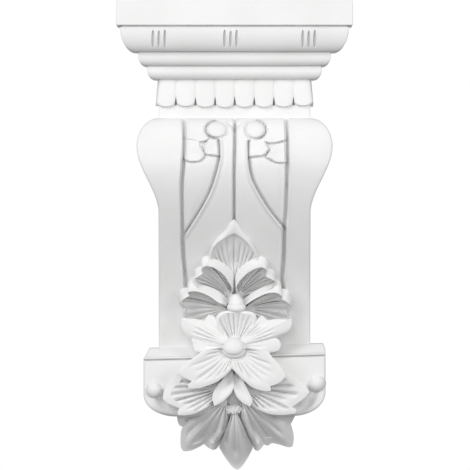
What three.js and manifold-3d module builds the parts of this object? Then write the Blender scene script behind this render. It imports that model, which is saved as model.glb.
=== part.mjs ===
// A moulded wall corbel: a three-sided cornice with a row of tongues, a scrolled body with a carved front panel,
// a flat bar with a ball at each end, and a flower with leaves over the bar and under it.
// Millimetres, +Z up. The back is the plane y = 0, the front looks towards -Y, and the origin is mid-height on the back.
import * as THREE from "three";
import { mergeVertices } from "three/addons/utils/BufferGeometryUtils.js";
import Module from "manifold-3d";

const wasm = await Module();
wasm.setup();

// Heights of the courses, from the top down
const ABACUS_HEIGHT = 16;
const QUIRK_HEIGHT = 1;
const OVOLO_HEIGHT = 15.5;
const BEAD_HEIGHT = 9;
const TORUS_HEIGHT = 8.5;
const NECK_HEIGHT = 24.8;
const BODY_HEIGHT = 145.5;
const BAR_HEIGHT = 45;
const LEAF_DROP = 34.7;

// The cornice: its slab, and how far each moulding stays behind the slab's edge
const ABACUS_WIDTH = 150.6;
const ABACUS_DEPTH = 100;
const QUIRK_INSET = 3.6;
const OVOLO_INSET = 2.4;
const OVOLO_PROJECTION = 9.6;
const BEAD_INSET = 14.1;
const TORUS_INSET = 19.8;
const NECK_INSET = 27;
const ROLL_SHARE = 0.6;
const ROLL_EDGE = 0.8;

// The tongues under the cornice
const TONGUE_LENGTH = 17.2;
const TONGUE_ROUND = 5;
const TONGUE_PITCH = 12.5;
const TONGUE_OVERLAP = 0.3;
const TONGUE_PROJECTION = 1.6;
const TONGUE_SINK = 0.8;
const TONGUE_FLARE = 3.5;

// The nicks in the ovolo
const NICK_LENGTH = 11;
const NICK_WIDTH = 2;
const NICK_DEPTH = 1.6;
const NICK_PITCH = 3.7;
const NICK_GROUP_PITCH = 48;
const NICK_SET = 2.5;

// The body: width at the foot and at the shoulders, depth at the nose and at the foot
const BODY_WIDTH = 97;
const SHOULDER_WIDTH = 124.8;
const SHOULDER_RISE = 18;
const SHOULDER_FADE = 42.5;
const NOSE_DEPTH = 88;
const NOSE_RISE = 28;
const FOOT_DEPTH = 38;
const HOLLOW_LEAN = 0.88;
const BODY_SEAT = 8;

// The bar
const BAR_WIDTH = 116.4;
const BAR_DEPTH = 52;
const BAR_LEDGE = 5.7;
const BAR_BEVEL = 8;
const BAR_BEAD = 1.6;
const BAR_GROOVE = 1.2;
const BAR_CORNER = 21;
const BAR_CORNER_RISE = 15;
const BAR_ROLL = 8;
const BALL_RADIUS = 5.6;
const BALL_SINK = 1.8;
const SCOOP_DEPTH = 3;
const SCOOP_LENGTH = 20;
const SCOOP_WIDTH = 9;
const SCOOP_TURN = 0.65;

// The carving
const GROOVE_WIDTH = 2;
const GROOVE_DEPTH = 1.6;
const FIELD_DEPTH = 1.3;
const STALK_RISE = 0.9;
const EYE_RISE = 2.6;
const EYE_SQUASH = 0.88;
const SCALE_RISE = 0.8;
const SCALE_STEP = 0.5;
const BUTTON_RADIUS = 7;
const BUD_WIDTH = 11.6;
const KNOB_RADIUS = 4.4;
const LEAF_FOOT_DEPTH = 22;
const LEAF_SETBACK = 2;
const LEAF_START = 9;
const LEAF_FALL = 1.4;

// The carving is drawn on a net of squares, this many across the body
const NET_COUNT = 97;
const PETAL_ROW_COUNT = 3;
const PETAL_STEP = 4;
const ROW_CROWDING = 1.5;
const ROOT_SHARE = 0.4;
const WELD = 1e-4;

// How far a block that cuts or trims reaches past what it works on
const SPARE = 10;

// Levels, from the top down
const stack =
  ABACUS_HEIGHT + QUIRK_HEIGHT + OVOLO_HEIGHT + BEAD_HEIGHT + TORUS_HEIGHT + NECK_HEIGHT;
const top = (stack + BODY_HEIGHT + BAR_HEIGHT + LEAF_DROP) / 2;
const abacusFoot = top - ABACUS_HEIGHT;
const quirkFoot = abacusFoot - QUIRK_HEIGHT;
const ovoloFoot = quirkFoot - OVOLO_HEIGHT;
const beadFoot = ovoloFoot - BEAD_HEIGHT;
const torusFoot = beadFoot - TORUS_HEIGHT;
const bodyTop = torusFoot - NECK_HEIGHT;
const barTop = bodyTop - BODY_HEIGHT;
const barFoot = barTop - BAR_HEIGHT;
const foot = barFoot - LEAF_DROP;

const square = BODY_WIDTH / NET_COUNT;
const corniceHalf = ABACUS_WIDTH / 2;
const neckHalf = corniceHalf - NECK_INSET;
const neckDepth = ABACUS_DEPTH - NECK_INSET;
const rootDepth = FOOT_DEPTH * ROOT_SHARE;

const clamp = (value) => Math.min(1, Math.max(0, value));
const smooth = (value) => clamp(value) ** 2 * (3 - 2 * clamp(value));
const mix = (a, b, share) => a + (b - a) * share;

// A level of the net, where 0 is the middle of the corbel, moved with the courses it lies between
function level(z) {
  const marks = [
    [-150, foot],
    [-113, barFoot],
    [-67, barTop],
    [78, bodyTop],
  ];
  let i = 0;
  while (i < marks.length - 2 && z > marks[i + 1][0]) i += 1;
  const [low, high] = [marks[i], marks[i + 1]];
  return mix(low[1], high[1], (z - low[0]) / (high[0] - low[0]));
}

const onNet = ([x, z]) => new THREE.Vector2(x * square, level(z));

// The body's front, as a depth from the wall: a round nose, then a long hollow curve down to the bar
function bodyDepth(z) {
  const noseCentre = bodyTop - NOSE_RISE;
  if (z > noseCentre) {
    const rise = clamp((z - noseCentre) / NOSE_RISE);
    return neckDepth + (NOSE_DEPTH - neckDepth) * Math.sqrt(1 - rise * rise);
  }
  const fall = clamp((noseCentre - z) / (noseCentre - barTop));
  return NOSE_DEPTH - (NOSE_DEPTH - FOOT_DEPTH) * smooth(fall ** HOLLOW_LEAN);
}

// The front of the hanging leaves, which fall back to the wall
function leafDepth(z) {
  const leafTop = barFoot + LEAF_START;
  const fall = clamp((leafTop - z) / (leafTop - foot));
  return mix(LEAF_FOOT_DEPTH, BAR_DEPTH - LEAF_SETBACK, (1 - fall) ** LEAF_FALL);
}

// A closed geometry as a solid
function solid(geometry) {
  const bare = new THREE.BufferGeometry();
  bare.setAttribute("position", geometry.getAttribute("position"));
  bare.setIndex(geometry.index);
  const merged = mergeVertices(bare, WELD);
  return new wasm.Manifold(
    new wasm.Mesh({
      numProp: 3,
      vertProperties: merged.attributes.position.array,
      triVerts: new Uint32Array(merged.index.array),
    }),
  );
}

function joined(solids) {
  return solids.reduce((all, next) => all.add(next));
}

// A three-sided moulding: half widths and levels, from the bottom up, mitred at the corners and open to the wall
function moulding(profile) {
  const points = profile.map(([half, z]) => new THREE.Vector2(half * Math.SQRT2, z));
  const geometry = new THREE.LatheGeometry(points, 4);
  geometry.rotateX(Math.PI / 2);
  geometry.rotateZ(Math.PI / 4);
  geometry.translate(0, corniceHalf - ABACUS_DEPTH, 0);
  return solid(geometry);
}

// An outline in the plane of the wall, carried straight forward from the wall
function carriedForward(outline, depth) {
  const geometry = new THREE.ExtrudeGeometry(new THREE.Shape(outline), { depth, bevelEnabled: false });
  geometry.rotateX(Math.PI / 2);
  return solid(geometry);
}

// A side profile of depths and levels, carried across the corbel
function carriedAcross(profile, width) {
  const shape = new THREE.Shape(profile.map(([depth, z]) => new THREE.Vector2(depth, z)));
  const geometry = new THREE.ExtrudeGeometry(shape, { depth: width, bevelEnabled: false });
  const turn = new THREE.Matrix4().makeBasis(
    new THREE.Vector3(0, -1, 0),
    new THREE.Vector3(0, 0, 1),
    new THREE.Vector3(-1, 0, 0),
  );
  geometry.applyMatrix4(turn);
  geometry.translate(width / 2, 0, 0);
  return solid(geometry);
}

// Points along a quarter of an ellipse, from one end of it to the other
function quarter(from, to, count, bulgeFirst) {
  return Array.from({ length: count + 1 }, (_, i) => {
    const angle = ((i / count) * Math.PI) / 2;
    const [a, b] = bulgeFirst
      ? [Math.sin(angle), 1 - Math.cos(angle)]
      : [1 - Math.cos(angle), Math.sin(angle)];
    return [mix(from[0], to[0], a), mix(from[1], to[1], b)];
  });
}

// A moulding between two levels that falls straight from its upper edge and then rolls under
function rolled(inset, low, high, count) {
  const full = corniceHalf - inset;
  const roll = (high - low) * ROLL_SHARE;
  return [
    ...quarter([full - roll, low], [full, low + roll], count, true),
    [full, high - ROLL_EDGE],
    [full - ROLL_EDGE, high],
  ];
}

function cornice() {
  const ovoloTop = [corniceHalf - OVOLO_INSET, quirkFoot];
  const ovoloEdge = [corniceHalf - OVOLO_INSET - OVOLO_PROJECTION, ovoloFoot];
  return moulding([
    [0, bodyTop - NOSE_RISE],
    [neckHalf, bodyTop - NOSE_RISE],
    [neckHalf, torusFoot],
    ...rolled(TORUS_INSET, torusFoot, beadFoot, 6),
    ...rolled(BEAD_INSET, beadFoot, ovoloFoot, 6),
    ...quarter(ovoloEdge, ovoloTop, 8, true),
    [corniceHalf - QUIRK_INSET, quirkFoot],
    [corniceHalf - QUIRK_INSET, abacusFoot],
    [corniceHalf, abacusFoot],
    [corniceHalf, top],
    [0, top],
  ]);
}

// Copies of a solid made for the front, set along the front and both sides of a three-sided moulding
function aroundCornice(piece, frontPlaces, sidePlaces, half, depth) {
  const front = frontPlaces.map((x) => piece.translate([x, -depth, 0]));
  const sides = [-1, 1].flatMap((side) =>
    sidePlaces.map((y) => piece.rotate([0, 0, side * 90]).translate([side * half, -y, 0])),
  );
  return [...front, ...sides];
}

function evenPlaces(count, pitch, middle) {
  return Array.from({ length: count }, (_, i) => middle + (i - (count - 1) / 2) * pitch);
}

// A tongue is a capsule pressed flat against the neck, leaning out at its round end
function tongues() {
  const radius = (TONGUE_PITCH + TONGUE_OVERLAP) / 2;
  const thickness = TONGUE_PROJECTION + TONGUE_SINK;
  const squash = TONGUE_ROUND / radius;
  const geometry = new THREE.CapsuleGeometry(radius, (TONGUE_LENGTH - TONGUE_ROUND) / squash, 3, 10, 1);
  geometry.rotateX(Math.PI / 2);
  geometry.scale(1, thickness / radius, squash);
  geometry.rotateX(THREE.MathUtils.degToRad(-TONGUE_FLARE));
  const middle = torusFoot - (TONGUE_LENGTH - TONGUE_ROUND) / 2;
  const tongue = solid(geometry).translate([0, TONGUE_SINK, middle]);
  const across = Math.round((2 * neckHalf) / TONGUE_PITCH);
  const back = Math.floor(neckDepth / TONGUE_PITCH);
  return aroundCornice(
    tongue,
    evenPlaces(across, TONGUE_PITCH, 0),
    evenPlaces(back, TONGUE_PITCH, neckDepth - (back * TONGUE_PITCH) / 2),
    neckHalf,
    neckDepth,
  );
}

// Groups of three spindles that are cut out of the ovolo
function nicks() {
  const geometry = new THREE.SphereGeometry(0.5, 6, 6);
  geometry.rotateX(Math.PI / 2);
  geometry.scale(NICK_WIDTH, 2 * NICK_DEPTH, NICK_LENGTH);
  const slope = Math.atan2(OVOLO_PROJECTION, OVOLO_HEIGHT);
  geometry.rotateX(slope);
  const nick = solid(geometry).translate([0, 0, (quirkFoot + ovoloFoot) / 2]);
  const set = OVOLO_INSET + NICK_SET;
  const groups = [-NICK_GROUP_PITCH, -2 * square, NICK_GROUP_PITCH - square];
  const places = groups.flatMap((middle) => evenPlaces(3, NICK_PITCH, middle));
  return aroundCornice(nick, places, [], corniceHalf - set, ABACUS_DEPTH - set);
}

// The side profile of the body, set forward by an offset where carving is raised and back where it is sunk
function bodyBlock(offset) {
  const steps = 19;
  const high = bodyTop - 0.5;
  const low = barTop - BODY_SEAT;
  const front = Array.from({ length: steps + 1 }, (_, i) => {
    const z = mix(low, high, 1 - (1 - i / steps) ** 1.15);
    return [bodyDepth(z) + offset, z];
  });
  return carriedAcross([[0, low], ...front, [0, high]], SHOULDER_WIDTH + SPARE);
}

// The front outline of the body: shoulders that swell out under the neck and fade to a straight foot
function bodyOutline() {
  const shoulder = SHOULDER_WIDTH / 2;
  const straight = BODY_WIDTH / 2;
  const swell = quarter([shoulder, bodyTop - SHOULDER_RISE], [neckHalf, bodyTop], 6, false);
  const fade = Array.from({ length: 10 }, (_, i) => {
    const share = i / 10;
    const z = bodyTop - SHOULDER_RISE - SHOULDER_FADE * (1 - share);
    return [mix(straight, shoulder, smooth(share)), z];
  });
  const right = [[straight, barTop - BODY_SEAT], ...fade, ...swell];
  const left = right.map(([x, z]) => [-x, z]).reverse();
  return [...right, ...left].map(([x, z]) => new THREE.Vector2(x, z));
}

// A smooth line through a few points of the net
function smoothLine(points, step) {
  const curve = new THREE.SplineCurve(points.map(onNet));
  const count = Math.max(1, Math.round(curve.getLength() / step));
  return curve.getSpacedPoints(count);
}

// Several smooth lines end to end, with a corner where one meets the next
function cornered(lines, step) {
  return lines.flatMap((line, i) => smoothLine(line, step).slice(i ? 1 : 0));
}

// A narrow band along a line
function band(points, width, step) {
  const line = smoothLine(points, step);
  const offset = (side) =>
    line.map((point, i) => {
      const along = line[Math.min(i + 1, line.length - 1)].clone().sub(line[Math.max(i - 1, 0)]);
      const across = new THREE.Vector2(-along.y, along.x).setLength((side * width) / 2);
      return point.clone().add(across);
    });
  return [...offset(1), ...offset(-1).reverse()];
}

const mirrored = (points) => points.map(([x, z]) => [-x, z]);

// The panel's two side grooves and the groove between the stalks
const SIDE_GROOVES = [
  [[-32.2, 79], [-32.4, 51], [-32.7, 37.5], [-31.9, 4], [-32.4, -12], [-30.9, -30]],
  [[32.6, 79], [33.1, 51], [32.4, 26], [31.5, 3], [31, -15], [30.9, -30]],
];
const CENTRE_GROOVE = [[0.3, 71], [0.5, 45], [0.3, 12]];

// The outer edge of a stalk, from its foot up to the eye that it curls round
const STALK_EDGES = [
  [[-31.4, 3], [-26.2, 10.9], [-17.7, 23.4], [-11, 37.5], [-8.4, 54], [-9.7, 63]],
  [[30.6, 5], [22.8, 16.7], [15.1, 28.5], [10, 42.6], [8.4, 54], [8.8, 63]],
];
const EYES = [[-10.5, 70, 6.9], [13.2, 70, 6.6]];

// The sunk field outside a stalk, from its edge to the side groove
function field(edge) {
  const side = Math.sign(edge[0][0]);
  const inner = smoothLine(edge, PETAL_STEP);
  const outer = [[side * 18, 63], [side * 32.2, 63], [side * 32.2, 4]].map(onNet);
  return [...inner, ...outer];
}

// A stalk with the curl over its eye
function stalk(edge, eye) {
  const side = Math.sign(edge[0][0]);
  const [x, z, radius] = eye;
  const curl = [[x, z - radius], [x + side * radius * 1.05, z], [x, z + 7.4], [side * 3, 76], [side * 1.2, 70]];
  const stem = [[side * 1.2, 70], [side * 1.2, 13.5]];
  const root = [[side * 1.2, 13.5], [side * 8, 0], [side * 16, -16], [side * 31.8, -30]];
  const rise = [[side * 31.8, -30], edge[0]];
  return cornered([edge, [edge.at(-1), ...curl], stem, root, rise], PETAL_STEP);
}

// The scales beside and under an eye, each a shield with a round lower edge
const SCALES = [
  [[17.5, 76.5], [32.3, 76.5], [32.3, 63.4], [24, 62.6], [18.6, 66]],
  [[8.6, 64.5], [19.8, 65], [19.2, 59], [15, 54.4], [8.6, 53.9]],
  [[20, 64], [32.3, 64], [32.3, 51.5], [25, 49.6], [19.8, 55]],
];

function scale(points) {
  const [inner, outer, ...rim] = points;
  return cornered([[inner, outer], [outer, rim[0]], rim, [rim.at(-1), inner]], PETAL_STEP);
}

function body() {
  const block = bodyBlock(0);
  const outline = bodyOutline();
  let made = carriedForward(outline, ABACUS_DEPTH).intersect(block);
  const sink = (shape, depth) => {
    made = made.subtract(carriedForward(shape, ABACUS_DEPTH).subtract(bodyBlock(-depth)));
  };
  const raise = (shape, height) => {
    made = made.add(carriedForward(shape, ABACUS_DEPTH).intersect(bodyBlock(height)));
  };
  STALK_EDGES.forEach((edge) => sink(field(edge), FIELD_DEPTH));
  STALK_EDGES.forEach((edge, i) => raise(stalk(edge, EYES[i]), STALK_RISE));
  SCALES.forEach((points, i) => {
    raise(scale(points), SCALE_RISE + SCALE_STEP * (2 - i));
    raise(scale(mirrored(points)), SCALE_RISE + SCALE_STEP * (2 - i));
  });
  SIDE_GROOVES.forEach((line) => sink(band(line, GROOVE_WIDTH, 8), GROOVE_DEPTH));
  sink(band(CENTRE_GROOVE, GROOVE_WIDTH * 0.8, 12), GROOVE_DEPTH);
  return joined([made, ...EYES.map(eyeDome)]);
}

function eyeDome([x, z, radius]) {
  const at = onNet([x, z]);
  const size = radius * square;
  return ball(at.toArray(), bodyDepth(at.y) - EYE_RISE, [size, EYE_RISE * 2, size * EYE_SQUASH], 16);
}

// The bar: a bevelled ledge, a fine bead over a groove, a flat face, and a lower edge that rolls back
function barProfile() {
  const faceTop = barTop - BAR_LEDGE;
  const beadLow = faceTop - BAR_BEAD;
  return [
    [0, barFoot],
    ...quarter([BAR_DEPTH - BAR_ROLL, barFoot], [BAR_DEPTH, barFoot + BAR_ROLL], 5, true),
    [BAR_DEPTH, beadLow - BAR_GROOVE],
    [BAR_DEPTH - BAR_GROOVE, beadLow - BAR_GROOVE / 2],
    [BAR_DEPTH + BAR_GROOVE / 2, beadLow],
    [BAR_DEPTH + BAR_GROOVE / 2, faceTop],
    [BAR_DEPTH - BAR_BEVEL, barTop],
    [0, barTop],
  ];
}

function barOutline() {
  const half = BAR_WIDTH / 2;
  const beadLow = barTop - BAR_LEDGE - BAR_BEAD;
  const corner = quarter([half - BAR_CORNER, barFoot], [half, barFoot + BAR_CORNER_RISE], 7, true);
  const right = [...corner, [half, beadLow], [half - BAR_BEAD, beadLow], [half - BAR_LEDGE * 0.85, barTop]];
  const left = right.map(([x, z]) => [-x, z]).reverse();
  return [...right, ...left].map(([x, z]) => new THREE.Vector2(x, z));
}

// The two balls: the side, how far in from the bar's end, and how far up from its foot
const BALLS = [
  [-1, 6.8, 18.3],
  [1, 5.6, 22.1],
];

// A flattened ball at a place in the plane of the wall, by its depth, its three half sizes and its turn
function ball([x, z], depth, [across, forward, up], detail, turn = 0) {
  const geometry = new THREE.SphereGeometry(1, detail, Math.round(detail * 0.7));
  geometry.scale(across, forward, up);
  geometry.rotateY(turn);
  geometry.translate(x, -depth, z);
  return solid(geometry);
}

function bar() {
  const blank = carriedAcross(barProfile(), BAR_WIDTH + SPARE);
  let made = carriedForward(barOutline(), ABACUS_DEPTH).intersect(blank);
  BALLS.forEach(([side, inset, rise]) => {
    const at = [side * (BAR_WIDTH / 2 - inset), barFoot + rise];
    const scoopAt = [at[0] - side * BALL_RADIUS, at[1] - BALL_RADIUS * 1.7];
    const scoop = [SCOOP_LENGTH / 2, SCOOP_DEPTH, SCOOP_WIDTH / 2];
    made = made.subtract(ball(scoopAt, BAR_DEPTH, scoop, 12, side * SCOOP_TURN));
    made = made.add(ball(at, BAR_DEPTH - BALL_SINK, [BALL_RADIUS, BALL_RADIUS, BALL_RADIUS], 16));
  });
  return made;
}

// Points round a petal's edge with the height of its rolled rim, which runs smoothly from one line to the next
function edgeColumns(lines, heights) {
  return lines.flatMap((line, i) => {
    const points = smoothLine(line, PETAL_STEP * square);
    const height = heights[i] ?? 0;
    const before = mix(heights[i - 1] ?? height, height, 0.5);
    const after = mix(height, heights[i + 1] ?? height, 0.5);
    const columns = points.map((point, k) => {
      const share = (2 * k) / (points.length - 1);
      return { point, rim: share < 1 ? mix(before, height, share) : mix(height, after, share - 1) };
    });
    return columns.slice(i ? 1 : 0);
  });
}

// A petal is a fan of rays from its base to its edge. The front runs from the base's depth to the edge's, may be
// hollow or arched between, and may have a rolled rim; the walls run straight back to the root.
function petal({ base, edge, from, to, hollow = 0, arch = 0, rim = [], rimWidth = 6, root = rootDepth }) {
  const at = onNet(base);
  const columns = edgeColumns(edge, rim);
  if (THREE.ShapeUtils.area([at, ...columns.map((column) => column.point)]) > 0) columns.reverse();
  const geometry = new THREE.BoxGeometry(1, 1, 1, columns.length - 1, PETAL_ROW_COUNT, 1);
  const position = geometry.attributes.position;
  for (let i = 0; i < position.count; i += 1) {
    const around = position.getX(i) + 0.5;
    const out = 1 - (0.5 - position.getY(i)) ** ROW_CROWDING;
    const column = columns[Math.round(around * (columns.length - 1))];
    const place = at.clone().lerp(column.point, out);
    const rolled = Math.sin(Math.PI * clamp(column.point.distanceTo(place) / (rimWidth * square)));
    const edgeDepth = typeof to === "function" ? to(column.point.y) : to;
    const swell = arch - hollow * Math.sin(Math.PI * around);
    const depth = mix(from, edgeDepth, smooth(out)) + swell * Math.sin(Math.PI * out) + column.rim * rolled;
    position.setXYZ(i, place.x, position.getZ(i) > 0 ? -depth : -root, place.y);
  }
  return solid(geometry);
}

const overBody = (lift) => (z) => bodyDepth(z) + lift;

// The leaves above the flower
const UPPER_LEAVES = [
  {
    base: [0, -26],
    from: 54,
    to: overBody(2.2),
    rim: [2.2, 2.2],
    rimWidth: 5,
    edge: [
      [[-17, -10], [-15.9, -4], [-9.3, 6.3], [0.2, 14.2]],
      [[0.2, 14.2], [7, 5.8], [13.5, -4.4], [15.4, -10]],
    ],
  },
  {
    base: [-1, -31],
    from: 59,
    to: overBody(4.5),
    hollow: 2,
    rim: [3, 1.2, 0, 0, 0],
    edge: [
      [[-1.2, -25], [-5.6, -16.4], [-11.4, -11], [-17.4, -8.8]],
      [[-17.4, -8.8], [-20.8, -10.8], [-21.3, -15.7]],
      [[-21.3, -15.7], [-25.2, -17.6], [-25.6, -22.4]],
      [[-25.6, -22.4], [-28.6, -24.2], [-30, -27]],
      [[-30, -27], [-16, -34], [-5, -40]],
    ],
  },
  {
    base: [2.4, -31],
    from: 59,
    to: overBody(4.5),
    hollow: 2,
    rim: [3, 1.2, 0, 0, 0],
    edge: [
      [[2.2, -25], [6, -16.4], [11.2, -11], [17.2, -8.8]],
      [[17.2, -8.8], [21, -11.2], [21.6, -16.4]],
      [[21.6, -16.4], [25, -18.6], [25.7, -21.8]],
      [[25.7, -21.8], [28.6, -24.2], [30.4, -28]],
      [[30.4, -28], [17, -34], [7, -40]],
    ],
  },
  {
    base: [-3.4, -42],
    from: 56,
    to: overBody(6),
    hollow: 3,
    rim: [3.6, 1, 0, 0],
    edge: [
      [[-4.6, -37.6], [-11, -32.4], [-19, -27.2], [-27, -24.6], [-36, -30.8]],
      [[-36, -30.8], [-37, -35], [-33.6, -41]],
      [[-33.6, -41], [-34.6, -44.6], [-33.4, -49]],
      [[-33.4, -49], [-20, -52], [-8, -50]],
    ],
  },
  {
    base: [5, -42],
    from: 56,
    to: overBody(6),
    hollow: 3,
    rim: [3.6, 1, 0, 0],
    edge: [
      [[6.2, -37.6], [12, -32.4], [19.6, -27.6], [28, -24.8], [36, -30.8]],
      [[36, -30.8], [37.4, -38.6], [34.8, -42.6]],
      [[34.8, -42.6], [34.4, -46], [36.4, -49]],
      [[36.4, -49], [20, -52], [9, -50]],
    ],
  },
];

// The flower: its petals from the top round to the lower two
const FLOWER = [
  {
    base: [0, -64],
    from: 66,
    to: 60,
    hollow: 2,
    rim: [0.6, 1.2, 0.6],
    rimWidth: 4,
    edge: [
      [[-14, -53], [-13, -45.6], [-7, -43.2]],
      [[-7, -43.2], [0.4, -42], [8, -43.2]],
      [[8, -43.2], [14, -45.6], [15.4, -53]],
    ],
  },
  {
    base: [-3, -65],
    from: 67.5,
    to: 60,
    arch: 1.5,
    rim: [0.6, 1, 0.6, 0],
    rimWidth: 4,
    edge: [
      [[-6.6, -56], [-12, -47.4], [-16.6, -45.6]],
      [[-16.6, -45.6], [-20.6, -49.8], [-27, -49.8], [-33.6, -48.6]],
      [[-33.6, -48.6], [-33.4, -54.6], [-30.6, -59], [-24.6, -63]],
      [[-24.6, -63], [-14, -66]],
    ],
  },
  {
    base: [2, -65],
    from: 67.5,
    to: 60,
    arch: 1.5,
    rim: [0.6, 1, 0.6, 0],
    rimWidth: 4,
    edge: [
      [[7, -56], [13, -49.5], [18, -45.4]],
      [[18, -45.4], [21.6, -49.6], [28, -50], [36.6, -48.6]],
      [[36.6, -48.6], [36, -55], [32.4, -59], [24, -62.6]],
      [[24, -62.6], [14, -66]],
    ],
  },
  {
    base: [-3, -66],
    from: 66,
    to: 60,
    edge: [[[-12, -60], [-24, -61], [-27, -65.4], [-23.4, -69.4], [-12, -72]]],
  },
  {
    base: [3, -67],
    from: 66,
    to: 60,
    edge: [[[12, -60], [25, -61], [29.8, -65.4], [23.8, -71.6], [12, -74]]],
  },
  {
    base: [-3, -68],
    from: 68.5,
    to: 64,
    arch: 2,
    rim: [1, 0.4, 0.4, 0.6],
    rimWidth: 4,
    edge: [
      [[-7, -67.6], [-17, -67.2], [-25.6, -70], [-31.8, -75.2], [-36, -80.8]],
      [[-36, -80.8], [-34.4, -84.4], [-27.2, -88.4]],
      [[-27.2, -88.4], [-30.2, -91], [-29.5, -93.6]],
      [[-29.5, -93.6], [-21.6, -92.9], [-12.4, -88.9], [-5.1, -83.6], [-1.7, -80]],
    ],
  },
  {
    base: [1.5, -69],
    from: 69.5,
    to: 65,
    arch: 2,
    rim: [0.6, 0.4, 0.4, 1],
    rimWidth: 4,
    edge: [
      [[-2, -80], [2.7, -86.5], [10, -91.8], [17, -94.5], [23.4, -93.8]],
      [[23.4, -93.8], [22, -91.2]],
      [[22, -91.2], [28.4, -90.6], [33.4, -83.6]],
      [[33.4, -83.6], [25, -73.9], [20.6, -68.4], [8, -67.6]],
    ],
  },
];

// The leaves and the two drops that spread under the flower, over the bar
const LOWER_LEAVES = [
  {
    base: [-3, -90],
    from: 60,
    to: 56.5,
    arch: 1.5,
    rim: [0.6, 0.6, 0.4, 0.8],
    rimWidth: 4,
    edge: [
      [[-24, -80], [-36.4, -83.6], [-39.9, -90.2], [-45.8, -93.9]],
      [[-45.8, -93.9], [-46.4, -98.6], [-42.6, -101.9], [-35.8, -105.8]],
      [[-35.8, -105.8], [-38, -108.8], [-36, -111]],
      [[-36, -111], [-24, -108.6], [-13.9, -103.4], [-5, -97]],
    ],
  },
  {
    base: [4, -90],
    from: 60,
    to: 56.5,
    arch: 1.5,
    rim: [0.8, 0.4, 0.6, 0.6],
    rimWidth: 4,
    edge: [
      [[5, -97], [12.4, -104], [20, -108.6], [29, -110], [40, -109.4]],
      [[40, -109.4], [39.8, -107], [36.9, -105.4]],
      [[36.9, -105.4], [45, -99.6], [48.7, -95.1]],
      [[48.7, -95.1], [46.1, -90.7], [42.7, -88.8], [36.3, -83.9], [24, -80]],
    ],
  },
  {
    base: [-0.8, -83],
    from: 60,
    to: 62,
    edge: [
      [[-3, -85], [-7, -91.4], [-12.3, -95.8], [-13.7, -101.1], [-12.7, -105]],
      [[-12.7, -105], [-6, -101.1], [-2.2, -96.3], [0.2, -89.6]],
    ],
  },
  {
    base: [0.6, -83],
    from: 60,
    to: 62,
    edge: [
      [[-1.6, -89.8], [2.2, -100.4], [6.7, -103.7], [10.6, -104.4]],
      [[10.6, -104.4], [11.2, -100.6], [8.6, -94], [5.7, -91], [2.6, -85]],
    ],
  },
];

// The flower's button, the bud over it and the knob under it
const BOSSES = [
  { at: [-0.4, -66.2], depth: 66, sizes: [BUTTON_RADIUS, 8, BUTTON_RADIUS] },
  { at: [0.9, -37.6], depth: 57, sizes: [BUD_WIDTH / 2, 8, BUD_WIDTH / 2] },
  { at: [-0.5, -106.5], depth: 50, sizes: [KNOB_RADIUS, 6, KNOB_RADIUS] },
];

// The three hanging leaves, which lie against the wall
const HANGING_LEAVES = [
  {
    base: [-6, -100],
    from: 49,
    to: leafDepth,
    rim: [1, 1, 1, 1, 0],
    edge: [
      [[-30, -101], [-37.2, -108], [-37.4, -114], [-33.6, -120.8]],
      [[-33.6, -120.8], [-35.6, -129.5], [-35.7, -134.1], [-33.2, -137.7]],
      [[-33.2, -137.7], [-27, -137.4], [-20, -133]],
      [[-20, -133], [-17.2, -135.5], [-14, -136.7], [-10, -134.6]],
      [[-10, -134.6], [-3, -120]],
    ],
  },
  {
    base: [6, -100],
    from: 49,
    to: leafDepth,
    rim: [0, 1, 1, 1, 1],
    edge: [
      [[3, -120], [11.6, -134.6]],
      [[11.6, -134.6], [13.2, -136.7], [16, -137.2], [18.8, -134]],
      [[18.8, -134], [25.1, -132], [33, -135], [38.2, -135]],
      [[38.2, -135], [39, -129], [38.3, -124], [36.2, -119.4]],
      [[36.2, -119.4], [38.6, -116.5], [39.2, -108], [31, -101]],
    ],
  },
  {
    base: [0, -100],
    from: 51,
    to: (z) => leafDepth(z) + 2,
    hollow: 1,
    rim: [1.6, 1, 1, 1.6],
    rimWidth: 5,
    edge: [
      [[-4.6, -110], [-7.2, -124], [-10.8, -135.4]],
      [[-10.8, -135.4], [-5.2, -144.2], [1.2, -150]],
      [[1.2, -150], [7.5, -143.9], [12.6, -135.4]],
      [[12.6, -135.4], [8, -124], [4, -110]],
    ],
  },
];

function corbel() {
  const stock = joined([cornice(), body(), bar(), ...tongues()]).subtract(joined(nicks()));
  const leaves = [...UPPER_LEAVES, ...FLOWER, ...LOWER_LEAVES].map(petal);
  const hanging = HANGING_LEAVES.map((leaf) => petal({ ...leaf, root: 0 }));
  const bosses = BOSSES.map(({ at, depth, sizes }) => ball(onNet(at).toArray(), depth, sizes, 16));
  const wall = carriedAcross(
    [[-ABACUS_DEPTH, foot - SPARE], [0, foot - SPARE], [0, top + SPARE], [-ABACUS_DEPTH, top + SPARE]],
    ABACUS_WIDTH + SPARE,
  );
  return joined([stock, ...leaves, ...hanging, ...bosses]).subtract(wall);
}

// The finished solid as a mesh
function asMesh(made, name, material) {
  const { vertProperties, triVerts } = made.getMesh();
  const geometry = new THREE.BufferGeometry();
  geometry.setAttribute("position", new THREE.BufferAttribute(vertProperties, 3));
  geometry.setIndex(new THREE.BufferAttribute(triVerts, 1));
  geometry.computeVertexNormals();
  const mesh = new THREE.Mesh(geometry, material);
  mesh.name = name;
  return mesh;
}

const whiteCasting = new THREE.MeshStandardMaterial({ color: 0xf4f4f2, roughness: 0.6, metalness: 0 });
const group = new THREE.Group();
group.add(asMesh(corbel(), "corbel", whiteCasting));

export default group;
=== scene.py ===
"""A moulded wall corbel in matt white: cornice with tongues, scrolled body with a carved panel, flat bar,
flower and leaves. Lengths are in millimetres until a mesh is made, and in metres for the lamps, the camera
and the floor. The back is y = 0 and the front looks towards -Y."""

import math

import bmesh
import bpy
import numpy as np
from mathutils import Matrix, Vector


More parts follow.
